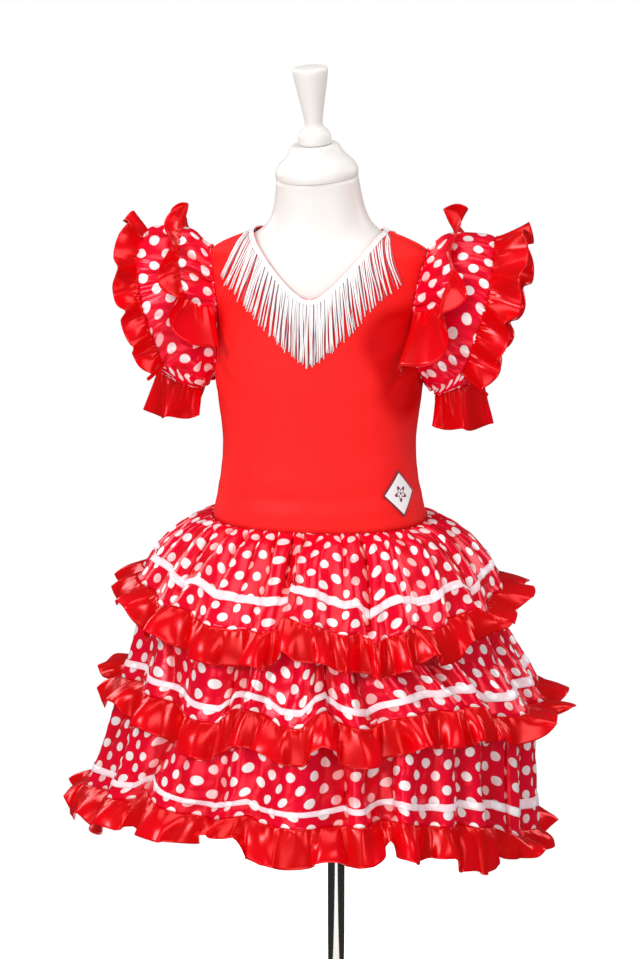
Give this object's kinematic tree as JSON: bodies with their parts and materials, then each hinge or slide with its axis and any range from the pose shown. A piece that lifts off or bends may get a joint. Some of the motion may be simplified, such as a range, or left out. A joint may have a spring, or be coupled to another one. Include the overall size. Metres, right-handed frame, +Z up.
{
  "type": "flamenco dress on a dress form",
  "caption": "Short-sleeved flamenco dress with a fringed V neck, frilled puff sleeves and tiers of ruffles round the skirt, on a limbless dress form with a pole and a round base.",
  "frame": {"origin": "centre of the base plate's underside, on the pole's axis", "axes": "+Z up along the pole, the dress's front faces -Y, +X is towards the wearer's left"},
  "size_m": [0.5628, 0.5075, 1.1188],
  "materials": {
    "bodice_crepe": "smooth matte stretch crepe",
    "polka_satin": "satin printed with white dots",
    "red_satin": "glossy satin",
    "white_tape": "flat woven satin tape",
    "white_fringe": "soft silky fringe",
    "white_patch": "stitched cloth patch",
    "form_white": "smooth gloss",
    "pole_chrome": "polished",
    "base_steel": "brushed"
  },
  "bodies": {
    "root": {"bodice_front": "bodice_crepe", "bodice_back": "bodice_crepe", "tier_1_front": "polka_satin", "tier_1_back": "polka_satin", "tier_2_front": "polka_satin", "tier_2_back": "polka_satin", "tier_3_front": "polka_satin", "tier_3_back": "polka_satin", "sleeve_left": "polka_satin", "sleeve_right": "polka_satin", "hem_ruffle_1": "red_satin", "hem_ruffle_2": "red_satin", "hem_ruffle_3": "red_satin", "sleeve_upper_ruffle_left": "red_satin", "sleeve_upper_ruffle_right": "red_satin", "sleeve_outer_ruffle_left": "red_satin", "sleeve_outer_ruffle_right": "red_satin", "cuff_ruffle_left": "red_satin", "cuff_ruffle_right": "red_satin", "tape_1": "white_tape", "tape_2": "white_tape", "tape_3": "white_tape", "neck_fringe": "white_fringe", "waist_patch": "white_patch", "form_torso": "form_white", "neck_cap": "form_white", "finial": "form_white", "pole": "pole_chrome", "base_plate": "base_steel"}
  },
  "joints": []
}
